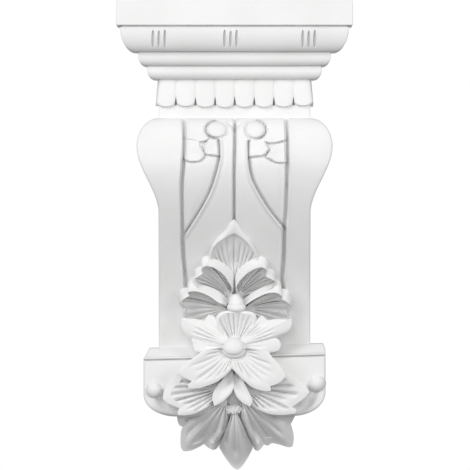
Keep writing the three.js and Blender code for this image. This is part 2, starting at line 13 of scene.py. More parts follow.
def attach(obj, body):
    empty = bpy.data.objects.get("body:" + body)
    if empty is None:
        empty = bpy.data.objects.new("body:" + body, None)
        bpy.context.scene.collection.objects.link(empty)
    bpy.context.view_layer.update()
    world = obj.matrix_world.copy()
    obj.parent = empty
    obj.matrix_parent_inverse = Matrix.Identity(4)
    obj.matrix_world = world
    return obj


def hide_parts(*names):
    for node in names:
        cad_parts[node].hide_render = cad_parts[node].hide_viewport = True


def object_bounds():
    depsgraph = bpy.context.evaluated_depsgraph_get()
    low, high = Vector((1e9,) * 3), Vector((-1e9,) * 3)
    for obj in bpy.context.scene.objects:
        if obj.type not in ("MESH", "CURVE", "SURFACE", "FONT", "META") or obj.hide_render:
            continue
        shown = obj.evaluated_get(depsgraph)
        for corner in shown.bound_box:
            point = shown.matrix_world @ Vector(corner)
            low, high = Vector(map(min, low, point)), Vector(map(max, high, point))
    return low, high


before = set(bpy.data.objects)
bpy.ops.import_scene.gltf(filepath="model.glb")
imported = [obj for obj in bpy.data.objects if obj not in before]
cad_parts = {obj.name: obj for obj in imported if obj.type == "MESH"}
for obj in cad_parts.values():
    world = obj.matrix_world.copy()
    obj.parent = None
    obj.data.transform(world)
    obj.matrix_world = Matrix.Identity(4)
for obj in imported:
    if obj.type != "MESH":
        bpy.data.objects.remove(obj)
cad_low, cad_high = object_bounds()

MM = 0.001
SEED = 11
WELD = 0.001

# The slab and the levels, from the frame's box
TOP = cad_high.z / MM
FOOT = cad_low.z / MM
SLAB_HALF = cad_high.x / MM
SLAB_DEPTH = -cad_low.y / MM

# Heights of the courses, from the top down
SLAB_HEIGHT = 16
QUIRK_HEIGHT = 1
OVOLO_HEIGHT = 15.5
BEAD_HEIGHT = 9
TORUS_HEIGHT = 8.5
NECK_HEIGHT = 24.8
BODY_HEIGHT = 145.5
BAR_HEIGHT = 45
SLAB_FOOT = TOP - SLAB_HEIGHT
QUIRK_FOOT = SLAB_FOOT - QUIRK_HEIGHT
OVOLO_FOOT = QUIRK_FOOT - OVOLO_HEIGHT
BEAD_FOOT = OVOLO_FOOT - BEAD_HEIGHT
TORUS_FOOT = BEAD_FOOT - TORUS_HEIGHT
BODY_TOP = TORUS_FOOT - NECK_HEIGHT
BAR_TOP = BODY_TOP - BODY_HEIGHT
BAR_FOOT = BAR_TOP - BAR_HEIGHT

# How far each moulding stays behind the slab's edge, and how it turns
SLAB_ARRIS = 0.7
CORNICE_CORNER = 0.6
QUIRK_INSET = 3.6
OVOLO_INSET = 2.4
OVOLO_PROJECTION = 9.6
BEAD_INSET = 14.1
TORUS_INSET = 19.8
NECK_INSET = 27
ROLL_SHARE = 0.6
ROLL_EDGE = 0.8
NECK_HALF = SLAB_HALF - NECK_INSET
NECK_DEPTH = SLAB_DEPTH - NECK_INSET

# The tongues on the neck and the pits between their ends
TONGUE_PITCH = 12.5
TONGUE_LENGTH = 17.2
TONGUE_END = 3.4
TONGUE_OUT = 0.9
TONGUE_LEAN = 1.5
TONGUE_SHIFT = 0.1
TONGUE_UNEVEN = 0.04
TONGUE_OVERLAP = 0.05
FRONT_TONGUES = 8
SIDE_TONGUES = 5
TONGUE_SPREAD = 2.3
SIDE_TONGUE_LIFT = 0.9
SIDE_TONGUE_SEAT = 0.7
PIT_DROP = 16.6
PIT_UNEVEN = 0.1

# The nicks in the ovolo, in groups at these places across
NICK_GROUPS = (-48, -2.4, 47.3)
NICK_COUNT = 3
NICK_PITCH = 3.8
NICK_HALF = 1.15
NICK_DEPTH = 1.7
NICK_LENGTH = 5.8
NICK_SEAT = 2.4
NICK_LEAN = math.radians(-20)
NICK_UNEVEN = 0.08

# The body
BODY_WIDTH = 97
SHOULDER_WIDTH = 124.8
SHOULDER_RISE = 18
SHOULDER_FADE = 42.5
NOSE_DEPTH = 88
NOSE_RISE = 28
NOSE_CENTRE = BODY_TOP - NOSE_RISE
FOOT_DEPTH = 38
HOLLOW_LEAN = 0.88
BODY_SEAT = 8
BODY_CORNER = 1.3
PANEL_HALF = 36

# The relief of the panel: heights over the body, and depths and half widths of lines
FIELD_SINK = 1.3
FIELD_RISE = 0.9
SCALE_HEIGHT = 0.5
SCALE_SWELL = 1.2
SCALE_LINE_DEPTH = 1.6
SCALE_LINE_HALF = 1.2
STALK_HEIGHT = 0.9
STALK_RIM = 1.2
STALK_SWELL = 0.4
STALK_GROOVE_DEPTH = 4.4
STALK_GROOVE_HALF = 2.2
EYE_HEIGHT = 1.7
EYE_LINE_IN = 2.2
EYE_LINE_OUT = 4.4
SIDE_GROOVE_HALF = 1.6
SIDE_GROOVE_DEPTH = 5
CENTRE_GROOVE_HALF = 1.3
CENTRE_GROOVE_DEPTH = 4
GROOVE_LIP = 0.35
FORK_DEPTH = 5
FORK_REACH = 7
LOBE_SINK = 6

# The bar
BAR_WIDTH = 116.4
BAR_DEPTH = 52
BAR_LEDGE = 5.7
BAR_BEVEL = 8
BAR_CORNER = 21
BAR_CORNER_RISE = 15
BAR_ROLL = 8
BAR_ARRIS = 1.4
BAR_TILT = 0.026
BAR_GROOVE_DROP = 1.9
BAR_GROOVE_DEPTH = 1.9
BAR_GROOVE_HALF = 0.8
BAR_STEP = 1.6
BAR_BEAD = 0.7
BAR_LEFT_CUT = 3.6
BAR_RIGHT_CUT = 1.4
BALL_RADIUS = 5.6
BALL_SEAT = 1.8
BAR_VALLEYS = [
    [[-46.6, -102.5], [-43.8, -107.4], [-36.3, -110.6]],
    [[49.7, -99.5], [45.4, -107.4], [40.1, -110]],
]
VALLEY_DEPTH = 4
VALLEY_HALF = 5.5

# The hanging leaves' front, which falls back to the wall
LEAF_TOP = BAR_FOOT + 9
LEAF_FOOT_DEPTH = 22
LEAF_SETBACK = 2
LEAF_FALL = 1.4
ROOT_DEPTH = FOOT_DEPTH * 0.4

# Mesh steps
LEVEL_STEP = 0.76
EDGE_STEP = 0.83
INNER_ROWS = 24
BAND_ROWS = 7
ARC_STEPS = 16
ARRIS_STEPS = 4
CURVE_STEPS = 24
LINE_STEPS = 40
COLUMN_COUNTS = (7, 38, 26, 26, 38, 7)
COLUMN_GAP = 1.6
COLUMN_CROWDING = 0.6
BRINK_SHARE = 0.86
CREASE = math.radians(38)
SQUARE = 0.9999

# The light all round, and the soft lamps with their places and their powers in watts
LIGHT_ROUND = 0.345
LAMP_SIZE = 0.7
LAMPS = [
    ((-1.2, -1.2, 0.5), 8.3),
    ((1.2, -1.2, 0.5), 8.3),
    ((0, -1.7, 0.3), 6.2),
    ((-0.75, -1.4, 1.1), 7.4),
]

# A little more contrast than plain, and the far camera
TONE_EXPOSURE = 0.02
TONE_GAMMA = 0.92
CAMERA_PLACE = (0.0003, -8, 0.0007)
CAMERA_LENS = 952.2
CAMERA_SENSOR = 36
CAMERA_REACH = 20

# The floor under the corbel
FLOOR_RADIUS = 1.5
FLOOR_HEIGHT = -0.6


def clamp(value):
    return np.clip(value, 0, 1)


def smooth(value):
    value = clamp(value)
    return value * value * (3 - 2 * value)


def mix(a, b, share):
    return a + (b - a) * share


def body_depth(z):
    """The body's front as a depth from the wall: a round nose, then a long hollow curve down to the bar."""
    rise = clamp((z - NOSE_CENTRE) / NOSE_RISE)
    fall = clamp((NOSE_CENTRE - z) / (NOSE_CENTRE - BAR_TOP))
    nose = NECK_DEPTH + (NOSE_DEPTH - NECK_DEPTH) * np.sqrt(1 - rise * rise)
    hollow = NOSE_DEPTH - (NOSE_DEPTH - FOOT_DEPTH) * smooth(fall**HOLLOW_LEAN)
    return np.where(z > NOSE_CENTRE, nose, hollow)


def leaf_depth(z):
    fall = clamp((LEAF_TOP - z) / (LEAF_TOP - FOOT))
    return mix(LEAF_FOOT_DEPTH, BAR_DEPTH - LEAF_SETBACK, (1 - fall) ** LEAF_FALL)


def over_body(lift):
    return lambda z: body_depth(z) + lift


def spline(points, count):
    """A smooth line through the points, in even steps."""
    points = np.array(points, float)
    ends = np.vstack([points[0], points, points[-1]])
    share = np.linspace(0, 1, CURVE_STEPS, endpoint=False)[:, None]
    runs = []
    for before, start, end, after in zip(ends, ends[1:], ends[2:], ends[3:]):
        leave, arrive = (end - before) / 2, (after - start) / 2
        cubic = 2 * start - 2 * end + leave + arrive
        square = -3 * start + 3 * end - 2 * leave - arrive
        runs.append(cubic * share**3 + square * share**2 + leave * share + start)
    line = np.vstack([*runs, points[-1:]])
    length = np.concatenate([[0], np.cumsum(np.linalg.norm(np.diff(line, axis=0), axis=1))])
    even = np.linspace(0, length[-1], count + 1)
    return np.column_stack([np.interp(even, length, line[:, axis]) for axis in (0, 1)])


def steps_of(points, step):
    """How many steps a line through the points takes."""
    return max(2, round(np.linalg.norm(np.diff(np.array(points, float), axis=0), axis=1).sum() / step))


def cornered(lines, counts):
    """Smooth lines end to end, with a corner where one meets the next."""
    runs = [spline(line, count) for line, count in zip(lines, counts)]
    return np.vstack([runs[0], *(run[1:] for run in runs[1:])])


def joined(runs):
    """Lines from runs of points, each of which goes on from the last point of the run before it."""
    return [runs[0], *([before[-1], *run] for before, run in zip(runs, runs[1:]))]


def distance(places, line):
    """How far each place is from a line of points."""
    start, along = line[:-1], np.diff(line, axis=0)
    offset = places[:, None] - start
    share = clamp((offset * along).sum(2) / np.maximum((along * along).sum(1), 1e-9))
    return np.linalg.norm(offset - share[..., None] * along, axis=2).min(1)


def inside(places, outline):
    """How far inside a closed outline each place is; outside it is negative."""
    ring = np.vstack([outline, outline[:1]])
    (x0, z0), (x1, z1) = ring[:-1].T, ring[1:].T
    x, z = places[:, :1], places[:, 1:]
    level = (z0 > z) != (z1 > z)
    rise = np.where(z1 == z0, 1, z1 - z0)
    crossed = level & (x < x0 + (z - z0) * (x1 - x0) / rise)
    within = crossed.sum(1) % 2 == 1
    return np.where(within, 1, -1) * distance(places, ring)


def shown(name, data):
    """An object with the given data, in the scene."""
    made = bpy.data.objects.new(name, data)
    bpy.context.scene.collection.objects.link(made)
    return made


def shaped(name, shape):
    """An object from a working shape, which is given up."""
    mesh = bpy.data.meshes.new(name)
    shape.to_mesh(mesh)
    shape.free()
    return shown(name, mesh)


def solid(name, points, faces):
    """A closed mesh object from points in millimetres."""
    mesh = bpy.data.meshes.new(name)
    mesh.from_pydata((np.asarray(points) * MM).tolist(), [], faces)
    shape = bmesh.new()
    shape.from_mesh(mesh)
    bmesh.ops.remove_doubles(shape, verts=shape.verts, dist=MM * WELD)
    bmesh.ops.recalc_face_normals(shape, faces=shape.faces)
    shape.to_mesh(mesh)
    shape.free()
    return shown(name, mesh)


def stacked(name, rings):
    """A closed solid from rings of points, one over the other, with a flat face at each end."""
    rings = np.array(rings, float)
    rows, count = rings.shape[:2]
    number = np.arange(rows * count).reshape(rows, count)
    beside = np.roll(number, -1, axis=1)
    quads = np.stack([number[:-1], beside[:-1], beside[1:], number[1:]], axis=-1).reshape(-1, 4)
    faces = [*quads.tolist(), number[0].tolist(), number[-1].tolist()]
    return solid(name, rings.reshape(-1, 3), faces)


def take(made, *others, operation="UNION"):
    """Joins other solids to a solid, or cuts them out of it."""
    for other in others:
        step = made.modifiers.new("step", "BOOLEAN")
        step.operation = operation
        step.solver = "MANIFOLD"
        step.object = other
    mesh = evaluated(made)
    made.modifiers.clear()
    made.data = mesh
    for other in others:
        bpy.data.objects.remove(other)
    return made


def evaluated(made):
    bpy.context.view_layer.update()
    graph = bpy.context.evaluated_depsgraph_get()
    return bpy.data.meshes.new_from_object(made.evaluated_get(graph))


def quarter(start, end, bulge_first, steps=ARC_STEPS):
    """Points along a quarter of an ellipse."""
    angle = np.linspace(0, math.pi / 2, steps + 1)
    shares = [np.sin(angle), 1 - np.cos(angle)]
    a, b = shares if bulge_first else shares[::-1]
    return np.column_stack([mix(start[0], end[0], a), mix(start[1], end[1], b)])


def rolled(inset, low, high):
    """A moulding that falls straight from its upper edge and then rolls under."""
    full = SLAB_HALF - inset
    roll = (high - low) * ROLL_SHARE
    under = quarter([full - roll, low], [full, low + roll], True)
    edge = quarter([full, high - ROLL_EDGE], [full - ROLL_EDGE, high], False, ARRIS_STEPS)
    return np.vstack([under, edge])


def three_sided(half, depth, z, corner, front_steps, side_steps):
    """A ring along the wall, one side, the front and the other side, with rounded front corners."""
    angle = np.linspace(0, math.pi / 2, 5)[:, None]
    turn = np.hstack([1 - np.cos(angle), np.sin(angle)]) * corner
    left = np.column_stack([-half + turn[:, 0], -depth + corner - turn[:, 1]])
    right = (left * [-1, 1])[::-1]
    back = np.linspace(0, 1, side_steps, endpoint=False)[:, None]
    across = np.linspace(0, 1, front_steps + 1)[1:-1, None]
    path = np.vstack([
        mix(np.array([-half, 0]), left[0], back),
        left,
        mix(left[-1], right[0], across),
        right,
        mix(right[-1], np.array([half, 0]), 1 - back[::-1]),
    ])
    return np.column_stack([path, np.full(len(path), z)])


def cornice():
    slab_inner = SLAB_HALF - SLAB_ARRIS
    ovolo_edge = [SLAB_HALF - OVOLO_INSET - OVOLO_PROJECTION, OVOLO_FOOT]
    profile = np.vstack([
        [[NECK_HALF, NOSE_CENTRE], [NECK_HALF, BODY_TOP], [NECK_HALF, TORUS_FOOT]],
        rolled(TORUS_INSET, TORUS_FOOT, BEAD_FOOT),
        rolled(BEAD_INSET, BEAD_FOOT, OVOLO_FOOT),
        quarter(ovolo_edge, [SLAB_HALF - OVOLO_INSET, QUIRK_FOOT], True, 20),
        [[SLAB_HALF - QUIRK_INSET, QUIRK_FOOT], [SLAB_HALF - QUIRK_INSET, SLAB_FOOT]],
        quarter([slab_inner, SLAB_FOOT], [SLAB_HALF, SLAB_FOOT + SLAB_ARRIS], True, ARRIS_STEPS),
        quarter([SLAB_HALF, TOP - SLAB_ARRIS], [slab_inner, TOP], False, ARRIS_STEPS),
    ])
    rings = []
    for half, z in profile:
        depth = SLAB_DEPTH - SLAB_HALF + half
        rings.append(three_sided(half, depth, z, CORNICE_CORNER, front_steps=48, side_steps=20))
    return stacked("cornice", rings)


# The panel's grooves
SIDE_GROOVES = [
    [[-32.5, 80], [-32, 66], [-32.2, 50], [-33.6, 34], [-33.5, 18], [-33, -4], [-32.1, -18], [-30.6, -32]],
    [[33, 80], [33.6, 55], [33.5, 38], [32.8, 16], [31.7, 4], [31.4, -12], [30.3, -27], [30.8, -34]],
]
CENTRE_GROOVE = [[0.2, 80], [0.2, 58], [-0.3, 42], [-0.3, 10], [-0.3, -60]]

# The sunk fork where the two curls part, as an outline from its lowest point
FORK = [[0, 65.6], [-2, 69.8], [-5.2, 72.6], [-6, 77], [6, 77], [5.6, 72.6], [2.2, 69.8]]

# The outer edge of a stalk, from its foot up to the eye that it curls round
STALK_EDGES = [
    [[-31.4, 1.4], [-24.1, 12.5], [-15.1, 28.8], [-9.8, 46.3], [-9, 53.7], [-9.6, 61]],
    [[31.4, 5], [20.8, 18.3], [11.3, 35.2], [8.6, 48], [8.3, 60.5]],
]
EYES = [[-11.4, 67.8, 6.1, 4.9], [13.4, 67.8, 5.8, 5.2]]
CURL_WIDTH = 2.1

# The scales beside and under an eye: the tier above first, each with its lower edge as one line
SCALES = [
    [[[-32, 76], [-16, 76], [-16.7, 61.3]],
     [[-16.7, 61.3], [-19.8, 60], [-23, 59.7], [-26.7, 60.5], [-32, 62]]],
    [[[33.4, 76], [17, 76], [17.1, 62.1], [21.4, 59.4]],
     [[21.4, 59.4], [25.1, 59], [30.3, 60.3], [33.4, 61.4]]],
    [[[-8, 62], [-16, 61.6], [-19.6, 57]], [[-19.6, 57], [-18.6, 52], [-14.5, 51.3], [-8, 50.9]]],
    [[[7.4, 62], [17.1, 62.1], [20.8, 57.9]],
     [[20.8, 57.9], [21.9, 55.2], [18.7, 51.3], [13.4, 50.5], [7.4, 50.5]]],
    [[[-32.4, 62], [-23, 60.6], [-21.4, 56.8]],
     [[-21.4, 56.8], [-19, 51.8], [-20.9, 48.4], [-24.6, 47.1], [-29.3, 47.3], [-32.4, 49]]],
    [[[33.4, 60], [25, 58.4], [22, 54]],
     [[22, 54], [19.9, 50.5], [22.4, 48.9], [26.1, 46.8], [33.4, 46.5]]],
]


def stalk(edge, eye):
    """A stalk with the curl over its eye, as an outline."""
    side = np.sign(edge[0][0])
    x, z, across, up = eye
    curl = [
        [x + side * across * 0.2, z - up * 0.6],
        [x, z + up + CURL_WIDTH * 0.8],
        [x - side * across * 0.7, z + up * 0.8 + CURL_WIDTH * 0.7],
        [side * 3.6, 71.4],
        [side * 0.9, 66],
    ]
    stem = [[side * 0.9, 66], [side * 0.5, 11]]
    root = [[side * 0.5, 11], [side * 8, -3], [side * 16, -18], [side * 31.8, -34]]
    rise = [[side * 31.8, -34], edge[0]]
    lines = [edge, [edge[-1], *curl], stem, root, rise]
    return cornered(lines, [steps_of(line, 2) for line in lines])


def field(edge):
    """The sunk field outside a stalk."""
    side = np.sign(edge[0][0])
    high, low = [side * 32.6, 61], [side * 33.6, 34]
    bounds = [edge, [edge[-1], high], [high, low], [low, edge[0]]]
    return cornered(bounds, [steps_of(line, 2) for line in bounds])


def layer(height, depth_in, level, soft):
    """Sets a level inside an outline, with a rounded edge."""
    return mix(height, level, smooth(depth_in / soft + 0.4))


def panel_relief(places):
    """How far the carving of the front stands out from the body, at places of the front."""
    x, z = places.T
    height = np.zeros(len(places))
    for edge in STALK_EDGES:
        within = inside(places, field(edge))
        height = layer(height, within, FIELD_RISE * smooth((within - 1) / 6) - FIELD_SINK, 1.6)
    for sides, rim in SCALES:
        outline = cornered([sides, rim, [rim[-1], sides[0]]], [12, 16, 8])
        within = inside(places, outline)
        brim = distance(places, spline(rim, 16))
        height = layer(height, within, SCALE_HEIGHT + SCALE_SWELL * clamp(1 - brim / 6), 0.8)
        height = height - SCALE_LINE_DEPTH * clamp(1 - (brim + 0.4 * (within > 0)) / SCALE_LINE_HALF)
    for edge, eye in zip(STALK_EDGES, EYES):
        within = inside(places, stalk(edge, eye))
        outer = distance(places, spline(edge, 30))
        height = height - (within < 0) * STALK_GROOVE_DEPTH * clamp(1 - outer / STALK_GROOVE_HALF) ** 1.3
        rim = STALK_RIM * clamp(1 - abs(outer - 1) / 1.5)
        height = layer(height, within, STALK_HEIGHT + rim + STALK_SWELL * smooth(within / 5), 0.7)
        across, up = eye[2:]
        away = np.hypot((x - eye[0]) / across, (z - eye[1]) / up)
        outward = smooth(0.5 + np.sign(edge[0][0]) * (x - eye[0]) / across)
        height = height - mix(EYE_LINE_IN, EYE_LINE_OUT, outward) * clamp(1 - abs(away - 1.14) * up)
        ball = STALK_HEIGHT + EYE_HEIGHT * np.sqrt(clamp(1 - away**2))
        height = layer(height, (1 - away) * up, ball, 0.8)
    fork_floor = FORK_DEPTH * clamp((z - FORK[0][1]) / FORK_REACH) - FORK_DEPTH
    height = layer(height, inside(places, np.array(FORK, float)), fork_floor, 0.9)
    grooves = [(groove, SIDE_GROOVE_HALF, SIDE_GROOVE_DEPTH) for groove in SIDE_GROOVES]
    grooves.append((CENTRE_GROOVE, CENTRE_GROOVE_HALF, CENTRE_GROOVE_DEPTH))
    for groove, width, depth in grooves:
        away = distance(places, spline(groove, LINE_STEPS))
        height = height + GROOVE_LIP * clamp(1 - abs(away - 2.2))
        height = height - depth * clamp(1.15 - away / width * 1.15) ** 0.9
    for leaf in UPPER_LEAVES:
        lines = joined(leaf["inner"])
        hidden = inside(places, cornered(lines, [8] * len(lines)))
        height = height - LOBE_SINK * smooth(hidden / 1.5)
    return height


def panel_columns(z):
    """Places across the panel at a level, close together beside the grooves and the stalks' edges."""
    lines = (SIDE_GROOVES[0], STALK_EDGES[0], CENTRE_GROOVE, STALK_EDGES[1], SIDE_GROOVES[1])
    marks = [-PANEL_HALF, *(follow(line, z) for line in lines), PANEL_HALF]
    marks[2] = max(marks[2], marks[1] + COLUMN_GAP)
    marks[4] = min(marks[4], marks[5] - COLUMN_GAP)
    runs = []
    for start, end, count in zip(marks, marks[1:], COLUMN_COUNTS):
        share = np.linspace(0, 1, count, endpoint=False)
        crowded = share - COLUMN_CROWDING * np.sin(2 * math.pi * share) / (2 * math.pi)
        runs.append(mix(start, end, crowded))
    return np.concatenate([*runs, marks[-1:]])


def follow(line, z):
    """Where a line that runs up or down crosses a level."""
    points = spline(line, LINE_STEPS)
    points = points[np.argsort(points[:, 1])]
    return float(np.interp(z, points[:, 1], points[:, 0]))


def body_half(z):
    """Half the body's width: shoulders that swell out under the neck and fade to a straight foot."""
    turn = BODY_TOP - SHOULDER_RISE
    rise = clamp((z - turn) / SHOULDER_RISE)
    swell = NECK_HALF + (SHOULDER_WIDTH / 2 - NECK_HALF) * np.sqrt(1 - rise * rise)
    fade = mix(BODY_WIDTH, SHOULDER_WIDTH, smooth((z - turn + SHOULDER_FADE) / SHOULDER_FADE)) / 2
    return np.where(z > turn, swell, fade)


def body():
    nose = NOSE_CENTRE + NOSE_RISE * np.cos(np.linspace(0, math.pi / 2, 60, endpoint=False))
    levels = np.concatenate([nose, np.arange(NOSE_CENTRE, BAR_TOP - BODY_SEAT, -LEVEL_STEP)])
    panels = np.array([panel_columns(z) for z in levels])
    places = np.column_stack([panels.ravel(), np.repeat(levels, panels.shape[1])])
    relief = panel_relief(places).reshape(panels.shape)
    turn = np.linspace(0, math.pi / 2, 5)
    margin = np.linspace(0, 1, 7)[1:-1]
    back = np.linspace(0, 1, 7)[1:]
    rounded = BODY_CORNER * np.column_stack([1 - np.sin(turn), 1 - np.cos(turn)])
    rings = []
    for z, panel, raised in zip(levels, panels, relief):
        half, depth = float(body_half(z)), float(body_depth(z))
        inner, behind = half - BODY_CORNER, depth - BODY_CORNER
        side = np.vstack([
            np.column_stack([mix(PANEL_HALF, inner, margin), np.full(len(margin), depth)]),
            [half, depth] - rounded,
            np.column_stack([np.full(len(back), half), behind * (1 - back)]),
        ])
        front = np.column_stack([panel, depth + raised])
        ring = np.vstack([side[::-1] * [-1, 1], front, side])
        rings.append(np.column_stack([ring[:, 0], -ring[:, 1], np.full(len(ring), z)]))
    return stacked("body", rings)


def bar():
    half = BAR_WIDTH / 2
    face_top = BAR_TOP - BAR_LEDGE
    groove = face_top - BAR_GROOVE_DROP
    roll = quarter([BAR_FOOT, BAR_DEPTH - BAR_ROLL], [BAR_FOOT + BAR_ROLL, BAR_DEPTH], False, 10)
    levels = np.concatenate([
        roll[:, 0],
        np.linspace(BAR_FOOT + BAR_ROLL, BAR_FOOT + BAR_CORNER_RISE, 11)[1:],
        np.linspace(BAR_FOOT + BAR_CORNER_RISE, groove - 1.6, 24)[1:-1],
        groove + np.linspace(-1.6, 2.2, 20),
        np.linspace(face_top + 0.6, BAR_TOP - 0.6, 6),
        [BAR_TOP - 0.2, BAR_TOP],
    ])
    rings = []
    for z in levels:
        fall = clamp((BAR_FOOT + BAR_ROLL - z) / BAR_ROLL)
        depth = BAR_DEPTH - BAR_ROLL * (1 - math.sqrt(1 - fall**2))
        ledge = clamp((z - face_top) / BAR_LEDGE)
        depth -= BAR_BEVEL * ledge + BAR_STEP * clamp((z - groove - 1.4) / 0.7)
        depth -= BAR_GROOVE_DEPTH * clamp(1 - abs(z - groove) / BAR_GROOVE_HALF)
        depth += BAR_BEAD * math.sqrt(clamp(1 - ((z - groove - 1.1) / 0.9) ** 2))
        drop = clamp((BAR_FOOT + BAR_CORNER_RISE - z) / BAR_CORNER_RISE)
        width = half - BAR_CORNER * (1 - math.sqrt(1 - drop**2))
        rings.append(three_sided(width, depth, z, BAR_ARRIS, front_steps=90, side_steps=12))
    made = stacked("bar", rings)
    for vertex in made.data.vertices:
        x, _, z = vertex.co / MM
        chamfer = clamp((z - face_top + 1) / (BAR_TOP - face_top + 1))
        left_cut = BAR_LEFT_CUT * chamfer * clamp(-x / half * 4 - 3)
        right_cut = BAR_RIGHT_CUT * chamfer**3 * clamp(x / half * 4 - 3)
        vertex.co.x += MM * float(left_cut - right_cut)
        vertex.co.z += MM * float(BAR_TILT * x * clamp(0.2 + (z - BAR_FOOT) / BAR_HEIGHT))
    places = np.array([vertex.co for vertex in made.data.vertices]) / MM
    front = clamp((-places[:, 1] - BAR_DEPTH + 12) / 4)
    for valley in BAR_VALLEYS:
        away = distance(places[:, [0, 2]], spline(valley, 20))
        places[:, 1] += VALLEY_DEPTH * front * smooth(1 - away / VALLEY_HALF)
    for vertex, place in zip(made.data.vertices, places):
        vertex.co.y = place[1] * MM
    return made


def dome(name, x, z, depth, sizes, lean=0, steps=24):
    """A flattened ball, by its half sizes across, forward and up; with a lean its foot comes forward."""
    shape = bmesh.new()
    across, forward, up = sizes
    place = Matrix.LocRotScale(Vector((x, -depth, z)) * MM, None, Vector((across, forward, up)) * MM)
    bmesh.ops.create_uvsphere(shape, u_segments=steps, v_segments=steps // 2, radius=1, matrix=place)
    for vertex in shape.verts:
        low = (z * MM - vertex.co.z) / (up * MM)
        vertex.co.x += lean * 0.3 * low * (vertex.co.x - x * MM)
        vertex.co.y -= lean * low * up * MM
    return shaped(name, shape)


def petal(name, base, outer, inner=None, start=60, end=60, floor=None, arch=0, bowl=0, crest=0.5, veins=0,
          vein_depth=1.2, vein_span=(0.2, 0.8), vein_edge=1.3, curl=0, folds=(), thickness=3, taper=0.3,
          root=ROOT_DEPTH):
    """A petal as a fan of rays. They run from its base to an inner line and on over a band to its edge.
    Both lines are given as runs for joined(). The band is highest at the inner line. Inside it the petal
    is veined, and it may be sunk to a floor with a sharp step. A fold is a ridge along a line, with its
    half width and its heights at top and foot."""
    base = np.array(base, float)
    counts = [steps_of(line, EDGE_STEP) for line in joined(outer)]
    edge = cornered(joined(outer), counts)
    brink = cornered(joined(inner), counts) if inner else mix(base, edge, BRINK_SHARE)
    across = edge - base
    beside = np.column_stack([-across[:, 1], across[:, 0]])
    share = np.linspace(0, 1, INNER_ROWS + 1) ** 0.9
    if inner:
        share = np.append(share, 1)
    sheet = base + share[:, None, None] * (brink - base)
    sheet = sheet + (curl * share * (1 - share))[:, None, None] * beside
    band = np.linspace(0, 1, BAND_ROWS + 1)[1:]
    place = np.concatenate([sheet, brink + band[:, None, None] * (edge - brink)])
    x, z = place[..., 0], place[..., 1]
    reach = np.linalg.norm(place - base, axis=2) / np.maximum(np.linalg.norm(across, axis=1), 1e-6)
    far = end(z) if callable(end) else end
    depth = mix(start, far, smooth(reach)) + arch * np.sin(math.pi * clamp(reach))
    rows = len(share)
    over = np.concatenate([np.zeros(rows), band])[:, None]
    depth = depth + crest * (1 - over**1.4) * smooth((reach - 0.3) / 0.4)
    inner_rows = rows - 1 if inner else rows
    run = share[:inner_rows, None]
    if floor:
        depth[:inner_rows] = np.minimum(floor(z[:inner_rows]), depth[:inner_rows] - 0.6)
    depth[:inner_rows] -= bowl * np.sin(math.pi * run**0.8)
    if veins:
        draw = np.random.default_rng(SEED + len(name) * 7 + int(abs(base[0]) * 10))
        angle = np.unwrap(np.arctan2(across[:, 1], across[:, 0]))
        around = (angle - angle.min()) / (angle.max() - angle.min())
        furrow = 1 - abs(np.sin(math.pi * veins * around))[None]
        number = np.round(around * veins).astype(int)
        last = (vein_span[1] + draw.uniform(-0.12, 0.08, veins + 1))[number][None]
        strength = draw.uniform(0.5, 1.15, veins + 1)[number][None]
        fade = smooth((run - vein_span[0]) / 0.15) * (1 - smooth((run - last + 0.1) / 0.2))
        depth[:inner_rows] -= vein_depth * strength * furrow**vein_edge * fade * mix(0.65, 1.4, run)
    for line, width, height, foot_height in folds:
        away = distance(place.reshape(-1, 2), spline(line, 20)).reshape(x.shape)
        down = clamp((line[0][1] - z) / (line[0][1] - line[-1][1]))
        depth = depth + mix(height, foot_height, down) * clamp(1 - (away / width) ** 2)
    front = np.dstack([x, -depth, z])
    loop = np.vstack([front[:, 0], front[-1, 1:-1], front[::-1, -1][:-1]])
    number = np.arange(x.size).reshape(x.shape)
    rim = np.concatenate([number[:, 0], number[-1, 1:-1], number[::-1, -1][:-1]])
    quads = np.stack([number[:-1, :-1], number[1:, :-1], number[1:, 1:], number[:-1, 1:]], axis=-1)
    faces = quads.reshape(-1, 4).tolist()
    points = [front.reshape(-1, 3)]
    total = number.size
    for back, pulled in ((thickness, 0.02), (None, taper)):
        wall = loop.copy()
        wall[:, [0, 2]] = mix(loop[:, [0, 2]], base, pulled)
        wall[:, 1] = -root if back is None else np.minimum(loop[:, 1] + back, -root - 0.5)
        index = total + np.arange(len(wall))
        total += len(wall)
        points.append(wall)
        sides = np.stack([rim, np.roll(rim, -1), np.roll(index, -1), index], axis=-1)
        faces += sides.tolist()
        rim = index
    faces.append(rim.tolist())
    return solid(name, np.vstack(points), faces)


def down_body(lift, tilt, middle):
    """A surface over the body that leans down more than the body does."""
    return lambda z: body_depth(z) + lift + tilt * (z - middle)


# What the two sides of a pair of petals or leaves share, and what the hanging leaves share
LOBE = dict(veins=14, vein_depth=2.3, vein_span=(0.15, 0.97), vein_edge=0.9)
UPPER_LOBE = dict(**LOBE, start=57, end=over_body(3), floor=down_body(2, 0.4, -26), crest=5.5)
LOWER_LOBE = dict(**LOBE, start=56, end=over_body(4.5), floor=down_body(3, 0.35, -42), crest=6)
UPPER_PETAL = dict(start=64, end=58.5, arch=1, veins=8, vein_depth=1, vein_span=(0.35, 0.85))
SIDE_PETAL = dict(start=64, end=59, veins=5, vein_depth=0.7)
LOWER_LEAF = dict(start=56.5, end=58.5, arch=1, veins=12, vein_depth=2.6, vein_span=(0.25, 0.97))
DROP = dict(start=59, end=62.5, crest=0.6)
HANGING_LEAF = dict(start=55.4, end=leaf_depth, veins=9, vein_span=(0.1, 0.95))

